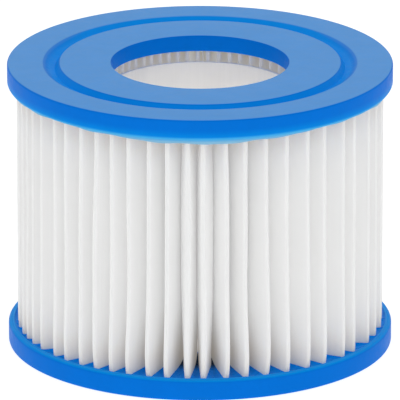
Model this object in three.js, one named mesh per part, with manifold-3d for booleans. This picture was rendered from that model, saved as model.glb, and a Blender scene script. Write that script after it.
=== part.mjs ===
// Filter cartridge for a small pool or spa pump: a ring of pleated sheet round a perforated
// core, closed at both ends by moulded ring caps. Units are millimetres and +Z is up.
// The origin is the centre of the lower cap's outer face. Water enters through the pleats
// and leaves along the bore.
import * as THREE from "three";
import { mergeVertices } from "three/addons/utils/BufferGeometryUtils.js";
import Module from "manifold-3d";

const wasm = await Module();
wasm.setup();

const HEIGHT = 80;
const GAP = 0.3; // between bonded neighbours

// End cap: a ring tray with a sealing groove in its outer face.
const CAP_R = 53;
const BORE_R = 24.4;
const RIM_H = 5.8;
const RIM_T = 1.5;
const COLLAR_H = 4.7;
const COLLAR_T = 1.6;
const TRAY_FLOOR = 2.6;
const FACE_ROUND = 0.5;
const LIP_ROUND = 1.2;
const GROOVE_IN_R = 38.3;
const GROOVE_OUT_R = 43.3;
const GROOVE_DEPTH = 1.7;
const CAP_SEGMENTS = 72;

// Potting: the adhesive bed that fills each tray and holds the ends of the pleats.
const BED_LOW = TRAY_FLOOR + GAP;
const BED_HIGH = COLLAR_H;
const BED_IN_R = BORE_R + COLLAR_T + GAP;
const BED_OUT_R = CAP_R - RIM_T - GAP;
const SLOT_LOW = 3.4;
const SLOT_GAP = 0.25;

// Pleated sheet: tight folds at both edges, and pleats that are widest part of the way in.
const PLEATS = 55;
const SHEET_T = 0.5;
const TIP_R = 50.35;
const TIP_HALF = 0.5;
const BELLY_R = 37;
const BELLY_HALF = 1.57;
const ROOT_R = 27.25;
const ROOT_HALF = 0.58;
const PITCH = (2 * Math.PI) / PLEATS;
const SHEET_LOW = SLOT_LOW + GAP;

// Seam: the strip of adhesive between the two ends of the sheet.
const SEAM_ANGLE = THREE.MathUtils.degToRad(88.4);
const SEAM_T = 0.5;
const SEAM_IN_R = 29.5;
const SEAM_OUT_R = 49.5;
const SEAM_TIP_R = 50.3;
const SEAM_HALF = (SEAM_T + SHEET_T) / 2 + GAP;

// Centre core: a tube with rows of windows, shorter than the pleats.
const CORE_IN_R = 25.6;
const CORE_T = 1.1;
const CORE_LOW = 8.1;
const CORE_SEGMENTS = 48;
const WINDOW_COLUMNS = 12;
const WINDOW_ROWS = 5;
const WINDOW_W = 5.4;
const WINDOW_H = 6.8;
const WINDOW_STEP = 9.8;

const CAP_BLUE = new THREE.MeshStandardMaterial({ color: 0x0a72d6, roughness: 0.42, metalness: 0 });
const POTTING_BLUE = new THREE.MeshStandardMaterial({ color: 0x2c8fdc, roughness: 0.3, metalness: 0 });
const SHEET_WHITE = new THREE.MeshStandardMaterial({ color: 0xeceae5, roughness: 0.95, metalness: 0 });
const CORE_GREY = new THREE.MeshStandardMaterial({ color: 0xd4d4d2, roughness: 0.5, metalness: 0 });
const SEAM_CREAM = new THREE.MeshStandardMaterial({ color: 0xe6dfc8, roughness: 0.35, metalness: 0 });

function named(name, geometry, material) {
  const mesh = new THREE.Mesh(geometry, material);
  mesh.name = name;
  return mesh;
}

// Ring turned about Z from a closed outline of [radius, height] pairs.
function turned(outline, segments) {
  const points = [...outline, outline[0]].map(([r, z]) => new THREE.Vector2(r, z));
  return new THREE.LatheGeometry(points, segments).rotateX(Math.PI / 2);
}

function toSolid(geometry) {
  const flat = geometry.index ? geometry.toNonIndexed() : geometry;
  const bare = new THREE.BufferGeometry().setAttribute("position", flat.getAttribute("position"));
  const merged = mergeVertices(bare, 1e-4);
  const mesh = new wasm.Mesh({
    numProp: 3,
    vertProperties: merged.attributes.position.array,
    triVerts: new Uint32Array(merged.index.array),
  });
  return new wasm.Manifold(mesh);
}

function toGeometry(solid) {
  const mesh = solid.getMesh();
  const geometry = new THREE.BufferGeometry();
  geometry.setAttribute("position", new THREE.BufferAttribute(mesh.vertProperties, mesh.numProp));
  geometry.setIndex(new THREE.BufferAttribute(mesh.triVerts, 1));
  geometry.computeVertexNormals();
  return geometry;
}

// Outline of the lower cap: outer face with its groove, rim, tray and collar round the bore.
function capOutline() {
  const trayR = CAP_R - RIM_T;
  return [
    [BORE_R + FACE_ROUND, 0],
    [GROOVE_IN_R, 0],
    [GROOVE_IN_R + 0.5, GROOVE_DEPTH - 0.3],
    [GROOVE_IN_R + 1.5, GROOVE_DEPTH],
    [GROOVE_IN_R + 3.2, GROOVE_DEPTH - 0.6],
    [GROOVE_OUT_R, 0],
    [CAP_R - FACE_ROUND, 0],
    [CAP_R, FACE_ROUND],
    [CAP_R, RIM_H - LIP_ROUND],
    [CAP_R - 0.35 * LIP_ROUND, RIM_H - 0.35 * LIP_ROUND],
    [CAP_R - LIP_ROUND, RIM_H],
    [trayR, RIM_H - 0.3],
    [trayR, TRAY_FLOOR],
    [BORE_R + COLLAR_T, TRAY_FLOOR],
    [BORE_R + COLLAR_T, COLLAR_H],
    [BORE_R + FACE_ROUND, COLLAR_H],
    [BORE_R, COLLAR_H - FACE_ROUND],
    [BORE_R, FACE_ROUND],
  ];
}

// Point at radius r in the direction of angle, then moved sideways, anticlockwise.
function polar(angle, r, side) {
  const x = r * Math.cos(angle) - side * Math.sin(angle);
  const y = r * Math.sin(angle) + side * Math.cos(angle);
  return new THREE.Vector2(x, y);
}

// Direction of pleat k. Pleat 0, which is also the last one, holds the seam.
function pleatAngle(k) {
  return SEAM_ANGLE + k * PITCH;
}

function pleatTip(k) {
  const angle = pleatAngle(k);
  return [
    polar(angle, BELLY_R, -BELLY_HALF),
    polar(angle, TIP_R, -TIP_HALF),
    polar(angle, TIP_R, TIP_HALF),
    polar(angle, BELLY_R, BELLY_HALF),
  ];
}

// Inner fold between pleat k and the next one.
function pleatRoot(k) {
  const angle = pleatAngle(k + 0.5);
  return [polar(angle, ROOT_R, -ROOT_HALF), polar(angle, ROOT_R, ROOT_HALF)];
}

// Middle of the folded sheet, once round from one side of the seam to the other.
function foldLine() {
  const line = [polar(pleatAngle(0), SEAM_TIP_R, SEAM_HALF), ...pleatRoot(0)];
  for (let k = 1; k < PLEATS; k++) {
    line.push(...pleatTip(k), ...pleatRoot(k));
  }
  line.push(polar(pleatAngle(PLEATS), SEAM_TIP_R, -SEAM_HALF));
  return line;
}

// The line moved to its left by offset, with mitred corners.
function moved(line, offset) {
  const steps = line.slice(1).map((p, i) => p.clone().sub(line[i]).normalize());
  return line.map((p, i) => {
    const a = steps[Math.max(i - 1, 0)];
    const b = steps[Math.min(i, steps.length - 1)];
    const mitre = new THREE.Vector2(-a.y - b.y, a.x + b.x);
    return p.clone().addScaledVector(mitre, offset / (1 + a.dot(b)));
  });
}

// Folded sheet of one thickness between two heights.
function foldedSheet(thickness, low, high) {
  const line = foldLine();
  const outline = [...moved(line, -thickness / 2), ...moved(line, thickness / 2).reverse()];
  const options = { depth: high - low, bevelEnabled: false };
  return new THREE.ExtrudeGeometry(new THREE.Shape(outline), options).translate(0, 0, low);
}

// Adhesive bed between two heights, with a blind slot for the end of the folded sheet.
function pottingBed(low, high, slotLow, slotHigh) {
  const outline = [
    [BED_IN_R, low],
    [BED_OUT_R, low],
    [BED_OUT_R, high],
    [BED_IN_R, high],
  ];
  const slot = foldedSheet(SHEET_T + 2 * SLOT_GAP, slotLow, slotHigh);
  return toGeometry(toSolid(turned(outline, CAP_SEGMENTS)).subtract(toSolid(slot)));
}

function coreWindow(column, row) {
  const angle = (column * 2 * Math.PI) / WINDOW_COLUMNS;
  const z = HEIGHT / 2 + (row - (WINDOW_ROWS - 1) / 2) * WINDOW_STEP;
  return new THREE.BoxGeometry(6, WINDOW_W, WINDOW_H)
    .translate(CORE_IN_R, 0, z)
    .rotateZ(angle);
}

function coreTube() {
  const outline = [
    [CORE_IN_R, CORE_LOW],
    [CORE_IN_R + CORE_T, CORE_LOW],
    [CORE_IN_R + CORE_T, HEIGHT - CORE_LOW],
    [CORE_IN_R, HEIGHT - CORE_LOW],
  ];
  let tube = toSolid(turned(outline, CORE_SEGMENTS));
  for (let column = 0; column < WINDOW_COLUMNS; column++) {
    for (let row = 0; row < WINDOW_ROWS; row++) {
      tube = tube.subtract(toSolid(coreWindow(column, row)));
    }
  }
  return toGeometry(tube);
}

function seamStrip() {
  const low = BED_HIGH + GAP;
  return new THREE.BoxGeometry(SEAM_OUT_R - SEAM_IN_R, SEAM_T, HEIGHT - 2 * low)
    .translate((SEAM_OUT_R + SEAM_IN_R) / 2, 0, HEIGHT / 2)
    .rotateZ(SEAM_ANGLE);
}

const cap = turned(capOutline(), CAP_SEGMENTS);
const bottomCap = named("bottom_end_cap", cap, CAP_BLUE);
const topCap = named("top_end_cap", cap, CAP_BLUE.clone());
topCap.rotation.x = Math.PI;
topCap.position.z = HEIGHT;

const bottomBed = pottingBed(BED_LOW, BED_HIGH, SLOT_LOW, HEIGHT / 2);
const topBed = pottingBed(HEIGHT - BED_HIGH, HEIGHT - BED_LOW, HEIGHT / 2, HEIGHT - SLOT_LOW);

const cartridge = new THREE.Group();
cartridge.name = "filter_cartridge";
cartridge.add(
  bottomCap,
  topCap,
  named("bottom_potting", bottomBed, POTTING_BLUE),
  named("top_potting", topBed, POTTING_BLUE.clone()),
  named("pleated_media", foldedSheet(SHEET_T, SHEET_LOW, HEIGHT - SHEET_LOW), SHEET_WHITE),
  named("media_seam", seamStrip(), SEAM_CREAM),
  named("centre_core", coreTube(), CORE_GREY),
);

export default cartridge;
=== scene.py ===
import math

import bmesh
import bpy
import numpy as np
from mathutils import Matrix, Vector, kdtree

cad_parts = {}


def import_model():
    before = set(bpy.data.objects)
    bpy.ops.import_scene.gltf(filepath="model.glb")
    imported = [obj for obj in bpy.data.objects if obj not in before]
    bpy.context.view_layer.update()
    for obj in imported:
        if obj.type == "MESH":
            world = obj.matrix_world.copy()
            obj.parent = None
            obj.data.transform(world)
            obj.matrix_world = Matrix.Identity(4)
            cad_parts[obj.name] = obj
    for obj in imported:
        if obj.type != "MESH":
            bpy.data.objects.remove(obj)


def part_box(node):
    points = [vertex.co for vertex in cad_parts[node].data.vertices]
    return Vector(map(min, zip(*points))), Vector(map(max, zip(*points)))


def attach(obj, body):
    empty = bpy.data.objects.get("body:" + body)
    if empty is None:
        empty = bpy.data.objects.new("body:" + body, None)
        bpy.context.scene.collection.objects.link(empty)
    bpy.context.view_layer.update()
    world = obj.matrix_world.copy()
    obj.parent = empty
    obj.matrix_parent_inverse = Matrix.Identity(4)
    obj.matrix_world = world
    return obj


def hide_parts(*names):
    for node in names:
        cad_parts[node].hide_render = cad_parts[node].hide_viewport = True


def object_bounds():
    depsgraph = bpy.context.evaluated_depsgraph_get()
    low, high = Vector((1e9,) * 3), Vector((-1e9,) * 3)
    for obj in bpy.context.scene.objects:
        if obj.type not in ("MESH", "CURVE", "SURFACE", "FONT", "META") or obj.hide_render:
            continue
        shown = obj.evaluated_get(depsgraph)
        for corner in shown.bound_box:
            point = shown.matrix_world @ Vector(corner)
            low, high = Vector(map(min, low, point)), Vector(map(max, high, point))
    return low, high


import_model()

cad_low, cad_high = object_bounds()
MM = 0.001
rng = np.random.default_rng(412)


def cad_heights(node):
    """Lowest and highest point of a CAD node."""
    low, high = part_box(node)
    return low.z / MM, high.z / MM


HEIGHT = cad_high.z / MM
MIDDLE = HEIGHT / 2

# End caps, with heights measured from the outer face of each.
CAP_R = cad_high.x / MM
BORE_R = 24.4
RIM_H = cad_heights("bottom_end_cap")[1]
RIM_T = 1.5
TRAY_R = CAP_R - RIM_T
TRAY_FLOOR = 2.6
COLLAR_R = 26.0
COLLAR_H = 4.7
CAP_STEPS = 288
GROOVE_IN_R = 38.6
GROOVE_OUT_R = 43.3
SKIN_REACH = 1.8  # how far the thin skin of moulding stands out of the upper cap's lip
LOWER_SKIN_REACH = 0.25

# Potting beds.
BED_LOW, BED_HIGH = cad_heights("bottom_potting")
BED_ROWS = 44
BED_COLUMNS = 990
BED_SAG = 0.12  # how far the bed lies below the CAD's between the pleats
CLIMB = 0.75  # how far the adhesive has crept up the sheet
CLIMB_WIDTH = 0.8
RIM_CLIMB = 1.0
RIM_CLIMB_WIDTH = 2.0

# Pleated sheet.
PLEATS = 55
SHEET_T = 0.5
SHEET_LOW, SHEET_HIGH = cad_heights("pleated_media")
SHEET_ROWS = 30
TIP_R = 50.35
TIP_HALF = 0.42  # half the width of the fold at a tip
TIP_DEPTH = 0.34  # how far that fold stands out from its two walls
BELLY_R = 38.4  # where neighbouring pleats press on each other
BELLY_BULGE = 2.4  # they do so further out at mid height
BELLY_RISE = 1.3  # above 1, more so in the upper half
BELLY_GAP = 0.05
END_GAP = 1.0  # the pleats stand apart where the beds hold them
SOFTNESS = 0.12  # how gently a wall turns at its belly
FULLNESS = 3.0  # the pleats at the left and right press on each other further out
FLARE = 0.7  # just above the lower bed, pleats bow away from the front
FLARE_HEIGHT = 0.1  # share of the height
TIP_UNEVEN = 0.08  # spread of the pleats' places, in shares of their spacing
ROOT_UNEVEN = 0.03
LEAN = 0.26  # spread of how far the tips lean to one side
BEND = 0.1  # and of how far they bow
SHORTFALL = 0.22  # the shortest pleats end this far inside TIP_R
SWELL = 0.05  # spread of how far the walls belly out
ROOT_R = 27.25
ROOT_HALF = 0.32  # half the width of an inner fold
SEAM_ANGLE = math.radians(88.4)
SEAM_HALF = 0.62  # from the middle of the seam to the middle of the sheet beside it
SEAM_FLANK = 16  # length of sheet that lies along the seam
SEAM_T = 0.5
SEAM_IN_R = 28.0
SEAM_OUT_R = 49.5
SEAM_ROWS = 60
CROWDING = ((1, 0.154, 0.0), (2, 0.053, math.radians(-26.5)))  # waves a turn, strength, phase

# Core.
CORE_IN_R = 25.6
CORE_T = 1.1
CORE_LOW = cad_heights("centre_core")[0]
WINDOW_COLUMNS = 12
WINDOW_ROWS = 5
WINDOW_W = 5.4
WINDOW_H = 6.8
WINDOW_STEP = 9.8
WINDOW_ROUND = 1.2
WINDOW_EASE = 0.12  # bevel round each window
SIDE_STEPS = 8  # points along each side of a window
BAND_ROUND = 0.35  # fillet at the ends of the tube
BAND_CUT = 0.1
CORE_SHARP = 35  # degrees between faces whose edge stays sharp
WELD_REACH = 2e-6  # metres

# Painted shade on the sheet, and the glow, painted light that stands for light that comes through a
# thin piece.
DEEP_SHADE = 0.5  # painted shade deep between the pleats, mostly in front
DEEP_SHADE_HEIGHT = 22  # how far above the lower bed it reaches
SIDE_SHADE = 0.08  # painted shade: the tips of the pleats at the left and right are less white
BED_SHADE_HEIGHT = 11  # how far the painted shade reaches from each bed
SHEET_GLOW = 0.078
SEAM_GLOW = 0.06
CORE_GLOW = 0.03
THROUGH_LIGHT = 0.002  # depth of the subsurface light, in metres

# Colours, linear.
CAP_BLUE = (0.0, 0.190, 0.775)
# Painted reflection on the caps' outer faces.
SHEEN_BLUE = (0.118, 0.375, 0.84)
# Painted highlight and painted light at the caps' lips and skin.
LIP_HIGHLIGHT_BLUE = (0.0, 0.30, 0.88)
RIM_GLOW_BLUE = (0.0, 0.27, 0.86)
THROUGH_LIP_BLUE = (0.06, 0.45, 0.86)
LIT_SKIN_BLUE = (0.28, 0.56, 0.77)
# Painted light in the groove.
LIT_GROOVE_BLUE = (0.0, 0.295, 0.89)
POTTING_BLUE = (0.0, 0.27, 0.95)
CLOUDY_POTTING_BLUE = (0.0, 0.23, 0.85)
# Painted shade between the pleats.
SHADED_POTTING_BLUE = (0.0, 0.025, 0.085)
SHEET_WHITE = (0.955, 0.955, 0.95)
# Painted shade near the beds.
BED_SHADED_SHEET = (0.91, 0.84, 0.745)
WETTED_SHEET = (0.55, 0.76, 0.92)
# Painted shade deep between the pleats.
DEEP_SHADED_SHEET = (0.39, 0.345, 0.295)
CORE_WHITE = (0.965, 0.945, 0.905)
SEAM_CREAM = (0.92, 0.90, 0.84)


# ---------------------------------------------------------------- mesh helpers
def mesh_piece(name, points, faces, material, sharp_angle):
    """Object from points in millimetres, shaded smooth but across its sharp edges."""
    mesh = bpy.data.meshes.new(name)
    mesh.from_pydata((np.asarray(points, float) * MM).tolist(), [], faces)
    mesh.materials.append(material)
    mesh.polygons.foreach_set("use_smooth", [True] * len(mesh.polygons))
    mesh.set_sharp_from_angle(angle=math.radians(sharp_angle))
    piece = bpy.data.objects.new(name, mesh)
    bpy.context.scene.collection.objects.link(piece)
    return piece


def finish_piece(piece, node):
    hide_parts(node)
    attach(piece, "root")


def ring_faces(rows, columns):
    """Quads of a grid of rows x columns points that closes on itself both ways."""
    i, j = np.meshgrid(np.arange(rows), np.arange(columns), indexing="ij")
    down, right = (i + 1) % rows, (j + 1) % columns
    corners = [i, i, down, down], [j, right, right, j]
    return np.stack([a * columns + b for a, b in zip(*corners)], axis=-1).reshape(-1, 4).tolist()


def polar(angle, r, side):
    """Points at radius r in the direction of angle, then moved sideways, anticlockwise."""
    x = r * np.cos(angle) - side * np.sin(angle)
    y = r * np.sin(angle) + side * np.cos(angle)
    return np.stack([x, y], axis=-1)


def rounded(corners, steps=7):
    """Closed outline through (radius, height, fillet) corners, with an arc at each fillet."""
    outline = []
    for i, (r, z, fillet) in enumerate(corners):
        corner = Vector((r, z))
        if not fillet:
            outline.append(corner)
            continue
        back = (Vector(corners[i - 1][:2]) - corner).normalized()
        on = (Vector(corners[(i + 1) % len(corners)][:2]) - corner).normalized()
        half = back.angle(on) / 2
        centre = corner + (back + on).normalized() * (fillet / math.sin(half))
        start = corner + back * (fillet / math.tan(half)) - centre
        end = corner + on * (fillet / math.tan(half)) - centre
        first = math.atan2(start.y, start.x)
        sweep = (math.atan2(end.y, end.x) - first + math.pi) % (2 * math.pi) - math.pi
        for a in np.linspace(first, first + sweep, steps + 1):
            outline.append(centre + Vector((math.cos(a), math.sin(a))) * fillet)
    return np.array([tuple(p) for p in outline])


# ---------------------------------------------------------------- end caps
def cap_outline(skin):
    """Section of a cap, as radius and height from the outer face, with the skin at its lip."""
    return rounded([
        (BORE_R, 0, 0.3),
        (GROOVE_IN_R, 0, 0.4),
        (GROOVE_IN_R + 1.3, 1.8, 0.35),
        (GROOVE_OUT_R - 1.7, 1.15, 2.0),
        (GROOVE_OUT_R, 0, 0.9),
        (CAP_R, 0, 0.6),
        (CAP_R, RIM_H, 0.85),
        (CAP_R - 1.2, RIM_H, 0.15),
        (CAP_R - 1.35, RIM_H + skin, 0.08),
        (TRAY_R - 0.2, RIM_H + skin, 0.08),
        (TRAY_R, RIM_H - 0.3, 0.2),
        (TRAY_R, TRAY_FLOOR, 0),
        (COLLAR_R, TRAY_FLOOR, 0),
        (COLLAR_R, COLLAR_H, 0.25),
        (BORE_R, COLLAR_H, 0.6),
    ])


def skin_share(angles):
    """Share of its reach that the skin has round the lip, from a little to all of it."""
    slow = 0.5 + 0.28 * np.cos(4 * angles)
    quick = 0.07 * np.sin(17 * angles + 1.2) + 0.05 * np.sin(31 * angles)
    return np.clip(slow + quick, 0.2, 1)


def end_cap(name, node, upper, skin, material):
    outline = cap_outline(skin)
    angles = np.linspace(0, 2 * math.pi, CAP_STEPS, endpoint=False)
    r = np.repeat(outline[None, :, 0], CAP_STEPS, axis=0)
    z = np.repeat(outline[None, :, 1], CAP_STEPS, axis=0)
    beyond = np.maximum(z - RIM_H, 0)
    z = z - beyond * (1 - skin_share(angles)[:, None])
    ring = np.stack([np.cos(angles)[:, None] * r, np.sin(angles)[:, None] * r, z], axis=-1)
    faces = ring_faces(CAP_STEPS, len(outline))
    if upper:
        ring[..., 2] = HEIGHT - ring[..., 2]
        faces = [face[::-1] for face in faces]
    piece = mesh_piece(name, ring.reshape(-1, 3), faces, material, 50)
    finish_piece(piece, node)


# ---------------------------------------------------------------- pleated sheet
class Folds:
    """The fold pattern: where each pleat stands, and how it leans and bows along its height."""

    def __init__(self):
        pitch = 2 * math.pi / PLEATS
        k = np.arange(PLEATS + 1)
        uneven = rng.normal(0, TIP_UNEVEN, PLEATS + 1)
        uneven[[0, PLEATS]] = 0
        self.tips = self.crowded(SEAM_ANGLE + (k + uneven) * pitch)
        middles = k[:-1] + 0.5 + rng.normal(0, ROOT_UNEVEN, PLEATS)
        self.roots = self.crowded(SEAM_ANGLE + middles * pitch)
        self.lean = rng.normal(0, LEAN, PLEATS + 1)
        self.bend = rng.normal(0, BEND, PLEATS + 1)
        self.phase = rng.uniform(0, 2 * math.pi, PLEATS + 1)
        self.reach = rng.uniform(-SHORTFALL, 0, PLEATS + 1)
        self.swell = rng.normal(0, SWELL, (PLEATS + 1, 2))
        towards_front = (1 - np.sin(self.tips)) / 2
        self.fullness = FULLNESS * np.abs(np.cos(self.tips)) ** 1.5
        self.flare = FLARE * towards_front * np.tanh(6 * np.cos(self.tips))

    @staticmethod
    def crowded(angle):
        """Pleats stand closer together in some parts of the ring than in others."""
        moved = angle
        for waves, strength, phase in CROWDING:
            start = math.sin(waves * SEAM_ANGLE + phase)
            moved = moved + strength * (np.sin(waves * angle + phase) - start)
        return moved

    def shift(self, k, up):
        """How far the tip of pleat k stands to one side at the share up of its height."""
        # Both ends are held by the beds, and pleats lean more in the lower half.
        held = math.sin(math.pi * up) ** 0.7
        bow = self.bend[k] * math.sin(2.2 * math.pi * up + self.phase[k])
        foot = up / FLARE_HEIGHT * math.exp(1 - up / FLARE_HEIGHT)
        return held * (self.lean[k] * (1.25 - up) + bow) + self.flare[k] * foot


ARC = np.linspace(0, math.pi, 6)


def flank(folds, k, hand, up):
    """One wall of pleat k, from its inner fold to its tip. hand is -1 or 1."""
    root = k - 1 if hand < 0 else k
    middle = math.sin(math.pi * up**BELLY_RISE)
    turn = abs(folds.roots[root] - folds.tips[k])
    root_r = ROOT_R + ROOT_HALF
    belly_r = BELLY_R + BELLY_BULGE * middle + folds.fullness[k]
    tip_r = TIP_R + folds.reach[k] - TIP_DEPTH
    r = np.concatenate([np.linspace(root_r, belly_r, 4)[1:-1], np.linspace(belly_r, tip_r, 7)[:-1]])
    gap = BELLY_GAP + END_GAP * (1 - middle) ** 2
    root_side = turn * root_r - ROOT_HALF
    belly_side = turn * belly_r - (SHEET_T + gap) / 2 + SOFTNESS
    inner = root_side + (belly_side - root_side) * (r - root_r) / (belly_r - root_r)
    out = np.clip((r - belly_r) / (tip_r - belly_r), 0, 1)
    outer = belly_side + (TIP_HALF - belly_side) * (r - belly_r) / (tip_r - belly_r)
    # Half the pleat's width is the lesser of the two lines, with a soft turn between them.
    half = -SOFTNESS * np.log(np.exp(-inner / SOFTNESS) + np.exp(-outer / SOFTNESS))
    swell = folds.swell[k, (hand + 1) // 2] * middle * np.sin(math.pi * out)
    return polar(folds.tips[k], r, hand * (half + swell) + folds.shift(k, up) * out**1.3)


def fold_line(folds, up):
    """Middle of the sheet at the share up of its height, once round from seam to seam."""
    seam_r = np.linspace(TIP_R - 0.1, TIP_R - SEAM_FLANK, 5)
    points = [polar(folds.tips[0], seam_r, SEAM_HALF)]
    for k in range(PLEATS):
        root_r = ROOT_R + ROOT_HALF * (1 - np.sin(ARC))
        points.append(polar(folds.roots[k], root_r, -ROOT_HALF * np.cos(ARC)))
        if k + 1 < PLEATS:
            tip = k + 1
            tip_r = TIP_R + folds.reach[tip] - TIP_DEPTH * (1 - np.sin(ARC))
            points.append(flank(folds, tip, -1, up))
            points.append(polar(folds.tips[tip], tip_r, folds.shift(tip, up) - TIP_HALF * np.cos(ARC)))
            points.append(flank(folds, tip, 1, up)[::-1])
    points.append(polar(folds.tips[PLEATS], seam_r[::-1], -SEAM_HALF))
    return np.concatenate(points)


def thickened(line):
    """Closed outline of the sheet, half a thickness to each side of its middle."""
    along = np.gradient(line, axis=0)
    along /= np.linalg.norm(along, axis=1)[:, None]
    across = np.stack([along[:, 1], -along[:, 0]], axis=-1) * (SHEET_T / 2)
    return np.concatenate([line + across, (line - across)[::-1]])


def pleated_sheet(folds, material):
    ups = np.linspace(0, 1, SHEET_ROWS + 1)
    outlines = [thickened(fold_line(folds, up)) for up in ups]
    count = len(outlines[0])
    heights = np.repeat(SHEET_LOW + (SHEET_HIGH - SHEET_LOW) * ups, count)
    points = np.column_stack([np.concatenate(outlines), heights])
    i = np.arange(count)
    on = (i + 1) % count
    wall = np.stack([i, on, on + count, i + count], axis=-1)
    faces = np.concatenate([wall + row * count for row in range(SHEET_ROWS)])
    i = np.arange(count // 2 - 1)
    low_end = np.stack([i + 1, i, count - 1 - i, count - 2 - i], axis=-1)
    high_end = low_end[:, ::-1] + SHEET_ROWS * count
    faces = np.concatenate([faces, low_end, high_end]).tolist()
    piece = mesh_piece("pleats", points, faces, material, 60)
    finish_piece(piece, "pleated_media")


# ---------------------------------------------------------------- potting beds
def sheet_finder(folds, up):
    """Nearest-point search over the sheet's end, which stands in a bed."""
    line = fold_line(folds, up)
    steps = line[1:] - line[:-1]
    fine = np.concatenate([line[:-1] + steps * share for share in (0, 0.25, 0.5, 0.75)])
    finder = kdtree.KDTree(len(fine))
    for i, (x, y) in enumerate(fine):
        finder.insert((x, y, 0), i)
    finder.balance()
    return finder


def potting_bed(name, node, upper, folds, material):
    """Adhesive bed whose surface creeps up each side of the sheet and up the rim."""
    finder = sheet_finder(folds, 1 if upper else 0)
    angles = np.linspace(0, 2 * math.pi, BED_COLUMNS, endpoint=False)
    points = []
    for r in np.linspace(COLLAR_R, TRAY_R, BED_ROWS):
        rim_climb = RIM_CLIMB * math.exp(-(TRAY_R - r) / RIM_CLIMB_WIDTH)
        for a in angles:
            x, y = r * math.cos(a), r * math.sin(a)
            away = max(finder.find((x, y, 0))[2] - SHEET_T / 2, 0)
            climb = max(CLIMB * math.exp(-away / CLIMB_WIDTH), rim_climb)
            points.append((x, y, BED_HIGH - BED_SAG + climb))
    for r in (TRAY_R, COLLAR_R):
        points += [(r * math.cos(a), r * math.sin(a), BED_LOW) for a in angles]
    points = np.array(points)
    faces = ring_faces(BED_ROWS + 2, BED_COLUMNS)
    if upper:
        points[:, 2] = HEIGHT - points[:, 2]
    else:
        faces = [face[::-1] for face in faces]
    piece = mesh_piece(name, points, faces, material, 60)
    finish_piece(piece, node)


# ---------------------------------------------------------------- core and seam
def cell_rim(half_w, half_h):
    """Points round a rectangle, anticlockwise from its lower left corner."""
    t = np.linspace(-1, 1, SIDE_STEPS + 1)[:-1]
    one = np.ones(SIDE_STEPS)
    x = np.concatenate([t, one, -t, -one]) * half_w
    y = np.concatenate([-one, t, one, -t]) * half_h
    return np.column_stack([x, y])


def window_rim(half_w, half_h, fillet):
    """Outline of a round-cornered window, one point for each point round its cell."""
    rim = cell_rim(half_w, half_h)
    inner = np.clip(rim, [fillet - half_w, fillet - half_h], [half_w - fillet, half_h - fillet])
    beyond = rim - inner
    far = np.maximum(np.linalg.norm(beyond, axis=1, keepdims=True), fillet)
    return inner + beyond * fillet / far


def core_tube(material):
    """Tube with rows of round-cornered windows between plain end bands."""
    middle_r = CORE_IN_R + CORE_T / 2
    out_r = CORE_IN_R + CORE_T
    cell_w = 2 * math.pi * middle_r / WINDOW_COLUMNS
    points, faces = [], []

    def strip(ring_a, ring_b):
        """Band of quads between two closed rings of points."""
        start, n = len(points), len(ring_a)
        points.extend([*ring_a, *ring_b])
        for i in range(n):
            j = (i + 1) % n
            faces.append((start + i, start + j, start + n + j, start + n + i))

    def wrapped(outline, x0, z0, r):
        angles = (x0 + outline[:, 0]) / middle_r
        return np.column_stack([polar(angles, r, 0), z0 + outline[:, 1]]).tolist()

    def window(x0, z0):
        cell = cell_rim(cell_w / 2, WINDOW_STEP / 2)
        hole = window_rim(WINDOW_W / 2, WINDOW_H / 2, WINDOW_ROUND)
        eased = window_rim(WINDOW_W / 2 + WINDOW_EASE, WINDOW_H / 2 + WINDOW_EASE, WINDOW_ROUND)
        steps = [
            (cell, out_r),
            (eased, out_r),
            (hole, out_r - WINDOW_EASE),
            (hole, CORE_IN_R + WINDOW_EASE),
            (eased, CORE_IN_R),
            (cell, CORE_IN_R),
        ]
        rings = [wrapped(outline, x0, z0, r) for outline, r in steps]
        for ring_a, ring_b in zip(rings, rings[1:]):
            strip(ring_a, ring_b)

    def turned_over(ring):
        return (ring * [1, 1, -1] + [0, 0, HEIGHT]).tolist()

    for column in range(WINDOW_COLUMNS):
        for row in range(WINDOW_ROWS):
            window(cell_w * column, MIDDLE + (row - (WINDOW_ROWS - 1) / 2) * WINDOW_STEP)

    steps = WINDOW_COLUMNS * SIDE_STEPS
    angles = (np.arange(steps) / SIDE_STEPS - 0.5) * cell_w / middle_r
    rows_end = MIDDLE - WINDOW_ROWS * WINDOW_STEP / 2
    band = [
        (CORE_IN_R, rows_end),
        (CORE_IN_R, CORE_LOW + BAND_ROUND),
        (CORE_IN_R + BAND_CUT, CORE_LOW + BAND_CUT),
        (CORE_IN_R + BAND_ROUND, CORE_LOW),
        (out_r - BAND_ROUND, CORE_LOW),
        (out_r - BAND_CUT, CORE_LOW + BAND_CUT),
        (out_r, CORE_LOW + BAND_ROUND),
        (out_r, rows_end),
    ]
    low_rings = [np.column_stack([polar(angles, r, 0), np.full(steps, z)]) for r, z in band]
    for ring_a, ring_b in zip(low_rings, low_rings[1:]):
        strip(ring_a.tolist(), ring_b.tolist())
        strip(turned_over(ring_b), turned_over(ring_a))
    piece = mesh_piece("core_tube", points, faces, material, CORE_SHARP)
    weld(piece.data)
    finish_piece(piece, "centre_core")


def weld(mesh):
    """Joins points that lie on each other and turns all faces outwards."""
    made = bmesh.new()
    made.from_mesh(mesh)
    bmesh.ops.remove_doubles(made, verts=made.verts, dist=WELD_REACH)
    bmesh.ops.recalc_face_normals(made, faces=made.faces)
    made.to_mesh(mesh)
    made.free()
    mesh.set_sharp_from_angle(angle=math.radians(CORE_SHARP))


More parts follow.
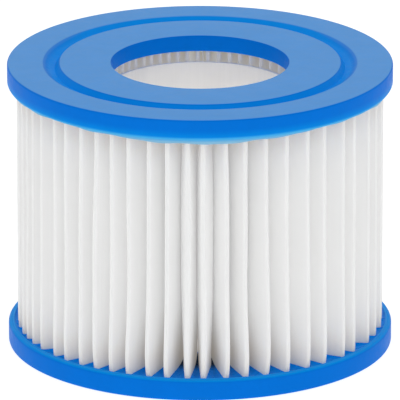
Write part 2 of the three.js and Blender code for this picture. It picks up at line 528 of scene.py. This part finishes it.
def seam_bead(material):
    """Bead of adhesive between the sheet's two ends, a little uneven along its height."""
    low, high = cad_heights("media_seam")
    half = SEAM_T / 2
    wide = [(half, SEAM_IN_R), (half, SEAM_OUT_R), (0, SEAM_OUT_R + 0.3)]
    section = np.array([*wide, (-half, SEAM_OUT_R), (-half, SEAM_IN_R), (0, SEAM_IN_R - 0.2)])
    points = []
    for z in np.linspace(low, high, SEAM_ROWS + 1):
        side = section[:, 0] * (1 + 0.25 * math.sin(0.7 * z) * math.sin(0.31 * z + 1))
        reach = section[:, 1] + np.where(section[:, 1] > BELLY_R, 0.15 * math.sin(0.9 * z), 0)
        points += np.column_stack([polar(SEAM_ANGLE, reach, side), np.full(len(section), z)]).tolist()
    n = len(section)
    faces = []
    for row in range(SEAM_ROWS):
        for j in range(n):
            a, b = row * n + j, row * n + (j + 1) % n
            faces.append((a, b, b + n, a + n))
    faces.append(tuple(reversed(range(n))))
    faces.append(tuple(SEAM_ROWS * n + j for j in range(n)))
    piece = mesh_piece("seam_bead", points, faces, material, 50)
    finish_piece(piece, "media_seam")


# ---------------------------------------------------------------- node helpers
def add(tree, kind, inputs=(), **settings):
    """New node, with its settings, and with each input either a value or another's output."""
    node = tree.nodes.new("ShaderNode" + kind)
    for name, value in settings.items():
        setattr(node, name, value)
    for name, value in dict(inputs).items():
        if isinstance(value, bpy.types.NodeSocket):
            tree.links.new(value, node.inputs[name])
        else:
            node.inputs[name].default_value = value
    return node


def blend(tree, share, one, other):
    """Colour that goes from one to other with share."""
    def shown(colour):
        return colour if isinstance(colour, bpy.types.NodeSocket) else (*colour, 1)
    mix = add(tree, "Mix", {0: share, 6: shown(one), 7: shown(other)}, data_type="RGBA")
    return mix.outputs[2]


def ramp(tree, value, start, end, low=0.0, high=1.0):
    """Value carried smoothly from start..end to low..high."""
    inputs = {"Value": value, "From Min": start, "From Max": end, "To Min": low, "To Max": high}
    return add(tree, "MapRange", inputs, interpolation_type="SMOOTHSTEP").outputs["Result"]


def math_node(tree, operation, *values):
    return add(tree, "Math", dict(enumerate(values)), operation=operation).outputs[0]


def noise(tree, here, scale, detail=2.0, stretch=(1, 1, 1)):
    """Noise with scale cells per metre, stretched where stretch is below 1."""
    moved = add(tree, "Mapping", {"Vector": here, "Scale": stretch}).outputs[0]
    return add(tree, "TexNoise", {"Vector": moved, "Scale": scale, "Detail": detail}).outputs["Fac"]


def bump(tree, shader, height, depth, strength):
    made = add(tree, "Bump", {"Height": height, "Distance": depth, "Strength": strength})
    tree.links.new(made.outputs[0], shader.inputs["Normal"])


def new_material(name, **values):
    """Material with its node tree, its shader, and coordinates in metres in the part's frame."""
    material = bpy.data.materials.new(name)
    material.use_nodes = True
    tree = material.node_tree
    shader = tree.nodes["Principled BSDF"]
    for key, value in values.items():
        shader.inputs[key.replace("_", " ")].default_value = value
    here = add(tree, "TexCoord").outputs["Object"]
    return material, tree, shader, here


# ---------------------------------------------------------------- materials
def spread(tree, value, low, high):
    """Noise, which mostly lies between 0.3 and 0.7, carried to low..high."""
    return ramp(tree, value, 0.3, 0.7, low, high)


def toned(tree, shader, colour, *tones):
    """Gives the shader its colour, made lighter and darker by the sum of the tones."""
    total = tones[0]
    for tone in tones[1:]:
        total = math_node(tree, "ADD", total, tone)
    scaled = add(tree, "VectorMath", {0: colour, "Scale": total}, operation="SCALE").outputs[0]
    tree.links.new(scaled, shader.inputs["Base Color"])


def where(tree, here):
    """Distance from the axis and from mid height, and the height itself, in millimetres."""
    place = add(tree, "VectorMath", {0: here, "Scale": 1 / MM}, operation="SCALE").outputs[0]
    place = add(tree, "SeparateXYZ", {0: place}).outputs
    level = add(tree, "CombineXYZ", {"X": place["X"], "Y": place["Y"]}).outputs[0]
    radius = add(tree, "VectorMath", {0: level}, operation="LENGTH").outputs["Value"]
    from_middle = math_node(tree, "ABSOLUTE", math_node(tree, "SUBTRACT", place["Z"], MIDDLE))
    return radius, from_middle, place["Z"]


def direction(tree, here):
    """Sideways and backward parts of the direction away from the axis, each from -1 to 1."""
    level = add(tree, "VectorMath", {0: here, 1: (1, 1, 0)}, operation="MULTIPLY").outputs[0]
    unit = add(tree, "VectorMath", {0: level}, operation="NORMALIZE").outputs[0]
    parts = add(tree, "SeparateXYZ", {0: unit}).outputs
    return parts["X"], parts["Y"]


def at_sides(tree, x, low=0.0, high=1.0):
    """low in front and behind, and high at the far left and right."""
    return ramp(tree, math_node(tree, "ABSOLUTE", x), 0.7, 0.97, low, high)


def between_folds(tree, radius, start, deep):
    """0 at the pleats' tips, up to 1 from start to deep, and 0 again at their inner folds."""
    inside = ramp(tree, radius, ROOT_R + 0.5, ROOT_R + 2)
    return math_node(tree, "MULTIPLY", ramp(tree, radius, start, deep), inside)


def moulded(tree, shader, here, colour, rough_low, rough_high):
    """Cast polyurethane: cloudy tone, a fine mould grain and uneven gloss."""
    cloud = noise(tree, here, 160, 3)
    flow = noise(tree, here, 620, 4)
    toned(tree, shader, colour, spread(tree, cloud, 0.98, 1.01), spread(tree, flow, -0.01, 0.01))
    tree.links.new(spread(tree, flow, rough_low, rough_high), shader.inputs["Roughness"])
    swirl = noise(tree, here, 240, 2)
    grain = noise(tree, here, 3600, 2)
    bump(tree, shader, math_node(tree, "MULTIPLY_ADD", swirl, 6.0, grain), 0.00003, 0.35)


def cap_material(name, glow, skin_light):
    """Blue cap: a paler outer face that is painted reflection, and painted light at a lip so thin that
    light comes through it.

    glow lists, from the rim down to the lip, a colour of painted light and how far from the lip it
    starts.
    skin_light is how much of the painted light through the skin shows.
    """
    material, tree, shader, here = new_material(name, Specular_IOR_Level=0.03)
    radius, height, _ = where(tree, here)
    normal = add(tree, "NewGeometry").outputs["Normal"]
    facing = math_node(tree, "ABSOLUTE", add(tree, "SeparateXYZ", {0: normal}).outputs["Z"])
    outside = ramp(tree, height, MIDDLE - 0.8, MIDDLE - 0.3)
    # Painted reflection: the outer faces are painted paler where they face up or down.
    painted_sheen = math_node(tree, "MULTIPLY", ramp(tree, facing, 0.74, 0.96), outside)
    colour = blend(tree, painted_sheen, CAP_BLUE, SHEEN_BLUE)
    # Painted light: the groove is painted lighter than the rest of the cap, against the shade in it.
    groove_in = ramp(tree, radius, GROOVE_IN_R - 0.2, GROOVE_IN_R + 0.4)
    # Painted reflection: at the far left and right the groove's outer wall keeps the face's pale
    # painted reflection.
    at_side = at_sides(tree, direction(tree, here)[0])
    full_blue = math_node(tree, "MULTIPLY_ADD", at_side, -1.5, GROOVE_OUT_R - 0.5)
    groove_out = ramp(tree, radius, GROOVE_OUT_R + 0.1, full_blue)
    colour = blend(tree, math_node(tree, "MULTIPLY", groove_in, groove_out), colour, LIT_GROOVE_BLUE)
    at_rim = ramp(tree, radius, TRAY_R - 0.6, TRAY_R - 0.1)
    lip = MIDDLE - RIM_H
    # Painted light: the rim is painted lighter and greener towards its thin lip.
    for glow_blue, start in glow:
        thin = math_node(tree, "MULTIPLY", ramp(tree, height, lip + start, lip + 0.2 * start), at_rim)
        colour = blend(tree, thin, colour, glow_blue)
    # Painted light through the thin skin at the lip.
    skin = ramp(tree, height, lip + 0.2, lip - 1.2, 0, skin_light)
    colour = blend(tree, math_node(tree, "MULTIPLY", skin, at_rim), colour, LIT_SKIN_BLUE)
    moulded(tree, shader, here, colour, 0.34, 0.46)
    return material


def potting_material():
    """Poured adhesive, smoother than the caps, a little cloudy, with painted shade between the pleats.
    """
    material, tree, shader, here = new_material("potting_blue", Specular_IOR_Level=0.03)
    cloud = spread(tree, noise(tree, here, 300, 2), 0, 1)
    colour = blend(tree, cloud, POTTING_BLUE, CLOUDY_POTTING_BLUE)
    radius = where(tree, here)[0]
    # Painted shade deep between the pleats.
    deep = between_folds(tree, radius, 42.5, 37)
    colour = blend(tree, deep, colour, SHADED_POTTING_BLUE)
    moulded(tree, shader, here, colour, 0.25, 0.38)
    return material


def sheet_material():
    """Spun-bonded polyester: random fibres and faint ribs, wetted near the beds, with painted shade
    near the beds, deep between the pleats and on the tips at the left and right.
    """
    # Its glow is painted light, standing for light that comes through the thin sheet.
    material, tree, shader, here = new_material(
        "spun_bonded_sheet",
        Specular_IOR_Level=0.15,
        Roughness=0.9,
        Subsurface_Weight=0.85,
        Subsurface_Radius=(1, 1, 1),
        Subsurface_Scale=THROUGH_LIGHT,
        Emission_Color=(1, 1, 1, 1),
        Emission_Strength=SHEET_GLOW,
    )
    fibres = noise(tree, here, 2600, 5)
    ribs = noise(tree, here, 900, 2, stretch=(1, 1, 0.035))
    cloud = noise(tree, here, 140, 2)
    radius, height, z = where(tree, here)
    bed = MIDDLE - BED_HIGH
    # Painted shade, darker and warmer towards each bed.
    bed_shade = ramp(tree, height, bed - BED_SHADE_HEIGHT, bed, 0, 0.9)
    colour = blend(tree, bed_shade, SHEET_WHITE, BED_SHADED_SHEET)
    # Painted shade deep between the pleats above the lower bed, mostly in front.
    low = ramp(tree, z, BED_HIGH + DEEP_SHADE_HEIGHT, BED_HIGH)
    x, y = direction(tree, here)
    in_front = ramp(tree, y, -0.6, -0.95, 0.2 * DEEP_SHADE, DEEP_SHADE)
    deep_shade = math_node(tree, "MULTIPLY", low, between_folds(tree, radius, 49, 41))
    colour = blend(tree, math_node(tree, "MULTIPLY", deep_shade, in_front), colour, DEEP_SHADED_SHEET)
    uneven = math_node(tree, "MULTIPLY_ADD", noise(tree, here, 700, 2), 0.9, height)
    foot = bed - CLIMB
    wetted = ramp(tree, uneven, foot - 0.1, foot + 0.6, 0, 0.3)
    colour = blend(tree, wetted, colour, WETTED_SHEET)
    # Painted shade on the pleat tips at the left and right.
    at_tips = ramp(tree, radius, TIP_R - 1, TIP_R - 0.2)
    shaded_side_tips = math_node(tree, "MULTIPLY", at_sides(tree, x, 0, -SIDE_SHADE), at_tips)
    streaks = spread(tree, ribs, -0.012, 0.009)
    specks = spread(tree, fibres, -0.01, 0.008)
    toned(tree, shader, colour, specks, streaks, spread(tree, cloud, 0.988, 1.0), shaded_side_tips)
    bump(tree, shader, math_node(tree, "MULTIPLY_ADD", ribs, 2.0, fibres), 0.00006, 0.5)
    return material


def core_material():
    """Pale moulded plastic with faint drag lines along the draw."""
    # Its glow is painted light that lifts the core.
    material, tree, shader, here = new_material(
        "core_white",
        Specular_IOR_Level=0.35,
        Emission_Color=(1, 0.96, 0.88, 1),
        Emission_Strength=CORE_GLOW,
    )
    drag = noise(tree, here, 1200, 2, stretch=(1, 1, 0.02))
    cloud = noise(tree, here, 120, 2)
    toned(tree, shader, CORE_WHITE, spread(tree, drag, -0.012, 0.012), spread(tree, cloud, 0.97, 1.0))
    tree.links.new(spread(tree, cloud, 0.4, 0.55), shader.inputs["Roughness"])
    bump(tree, shader, drag, 0.00003, 0.3)
    return material


def seam_material():
    """Set hot-melt adhesive, waxy and slightly lumpy."""
    # Its glow is painted light, standing for light that comes through the bead.
    material, tree, shader, here = new_material(
        "seam_adhesive",
        Specular_IOR_Level=0.4,
        Subsurface_Weight=0.8,
        Subsurface_Radius=(1, 1, 1),
        Subsurface_Scale=THROUGH_LIGHT,
        Emission_Color=(1, 0.97, 0.9, 1),
        Emission_Strength=SEAM_GLOW,
    )
    lumps = noise(tree, here, 420, 3)
    toned(tree, shader, SEAM_CREAM, spread(tree, lumps, 0.93, 1.03))
    tree.links.new(spread(tree, lumps, 0.28, 0.45), shader.inputs["Roughness"])
    bump(tree, shader, lumps, 0.0002, 0.4)
    return material


# ---------------------------------------------------------------- studio
ELEVATION = math.radians(18.29)
CAMERA_DISTANCE = 2.3
LENS = 750
SENSOR = 36
AIM = Vector((0, 0, MIDDLE * MM))
SKY_LOW = 0.61
SKY_HIGH = 1.30
SIDE_LIGHT = 0.66
FRONT_LIGHT = 0.56  # added to it in front and behind
BORE_LIGHT_SIZE = 0.044
BORE_LIGHT_POWER = 0.0095
BORE_LIGHT_RISE = 0.001  # above the floor
FLOOR_HALF = 4.0
FLOOR_DROP = 0.0002
FLOOR_GREY = 0.25
FLOOR_GLOW = 0.88


def camera():
    data = bpy.data.cameras.new("camera")
    data.lens = LENS
    data.sensor_width = SENSOR
    data.clip_start, data.clip_end = 0.1, 50
    cam = bpy.data.objects.new("camera", data)
    away = Vector((0, -math.cos(ELEVATION), math.sin(ELEVATION)))
    cam.location = AIM + away * CAMERA_DISTANCE
    cam.rotation_euler = away.to_track_quat("Z", "Y").to_euler()
    bpy.context.scene.collection.objects.link(cam)
    bpy.context.scene.camera = cam


def world():
    """Soft white studio, less bright at the sides than in front, behind and overhead."""
    made = bpy.data.worlds.new("studio")
    made.use_nodes = True
    tree = made.node_tree
    towards = add(tree, "SeparateXYZ", {0: add(tree, "TexCoord").outputs["Generated"]}).outputs
    by_height = ramp(tree, towards["Z"], 0.35, 1.0, SKY_LOW, SKY_HIGH)
    depth = math_node(tree, "MULTIPLY", towards["Y"], towards["Y"])
    by_depth = math_node(tree, "MULTIPLY_ADD", depth, FRONT_LIGHT, SIDE_LIGHT)
    background = tree.nodes["Background"]
    background.inputs["Color"].default_value = (1, 1, 1, 1)
    tree.links.new(math_node(tree, "MULTIPLY", by_height, by_depth), background.inputs["Strength"])
    bpy.context.scene.world = made


def bore_light():
    """The lit table under the bore, which fills the core with light from below."""
    data = bpy.data.lights.new("bore_light", "AREA")
    data.shape = "DISK"
    data.size = BORE_LIGHT_SIZE
    data.energy = BORE_LIGHT_POWER
    data.color = (1, 0.958, 0.885)
    light = bpy.data.objects.new("bore_light", data)
    light.location.z = BORE_LIGHT_RISE
    light.rotation_euler.x = math.pi
    bpy.context.scene.collection.objects.link(light)


def floor():
    """Pale floor that glows a little, as a lit sweep does."""
    size = FLOOR_HALF
    mesh = bpy.data.meshes.new("floor")
    corners = [(-size, -size, 0), (size, -size, 0), (size, size, 0), (-size, size, 0)]
    mesh.from_pydata(corners, [], [(0, 1, 2, 3)])
    material = new_material(
        "floor",
        Roughness=0.9,
        Base_Color=(FLOOR_GREY, FLOOR_GREY, FLOOR_GREY, 1),
        Emission_Color=(1, 1, 1, 1),
        Emission_Strength=FLOOR_GLOW,
    )[0]
    mesh.materials.append(material)
    made = bpy.data.objects.new("floor", mesh)
    made.location.z = -FLOOR_DROP
    bpy.context.scene.collection.objects.link(made)


bpy.context.scene.view_settings.view_transform = "Standard"
folds = Folds()
lower_blue = cap_material("cap_blue_lower", [(LIP_HIGHLIGHT_BLUE, 0.6)], 0.3)
upper_blue = cap_material("cap_blue_upper", [(RIM_GLOW_BLUE, 3.0), (THROUGH_LIP_BLUE, 1.1)], 1.0)
end_cap("bottom_cap", "bottom_end_cap", False, LOWER_SKIN_REACH, lower_blue)
end_cap("top_cap", "top_end_cap", True, SKIN_REACH, upper_blue)
pleated_sheet(folds, sheet_material())
potting = potting_material()
potting_bed("bottom_bed", "bottom_potting", False, folds, potting)
potting_bed("top_bed", "top_potting", True, folds, potting)
core_tube(core_material())
seam_bead(seam_material())
world()
bore_light()
floor()
camera()
